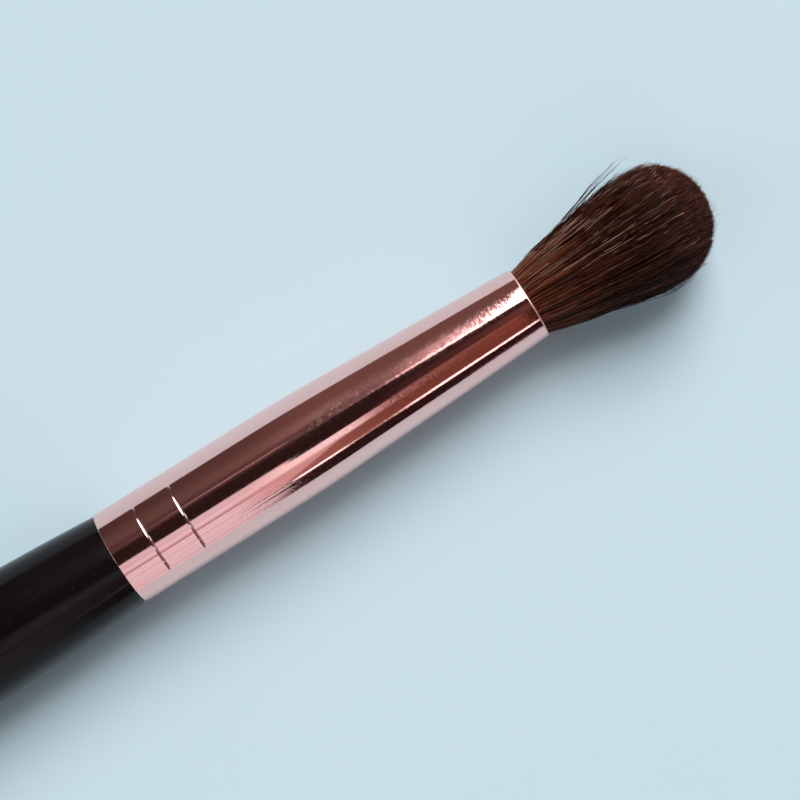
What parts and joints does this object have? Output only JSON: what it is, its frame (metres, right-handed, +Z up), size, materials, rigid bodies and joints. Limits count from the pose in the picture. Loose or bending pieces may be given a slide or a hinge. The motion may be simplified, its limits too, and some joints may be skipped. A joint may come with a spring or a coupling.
{
  "type": "eyeshadow brush",
  "caption": "Round domed hair tuft in a tapered, ring-pressed metal ferrule on a slim turned handle that swells behind the ferrule and thins to a rounded tail.",
  "frame": {"origin": "on the turning axis, at the middle of the parallel land at the handle's fullest point, just behind the ferrule", "axes": "+X along the turning axis towards the hair, +Z up; the brush is round, so +Y and +Z are alike"},
  "size_m": [0.1757, 0.0098, 0.0098],
  "materials": {
    "handle_lacquer": "turned hardwood under a dark, near-black polished lacquer",
    "ferrule_metal": "bright rose-gold anodised aluminium, polished",
    "glue": "hardened amber contact glue",
    "hair": "fine brown hair with a soft sheen",
    "thread": "waxed off-white thread",
    "resin": "clear amber casting resin"
  },
  "bodies": {
    "root": {"handle": "handle_lacquer", "ferrule": "ferrule_metal", "spigot_glue": "glue", "hair_tuft": "hair", "binding_thread": "thread", "root_resin": "resin"}
  },
  "joints": []
}
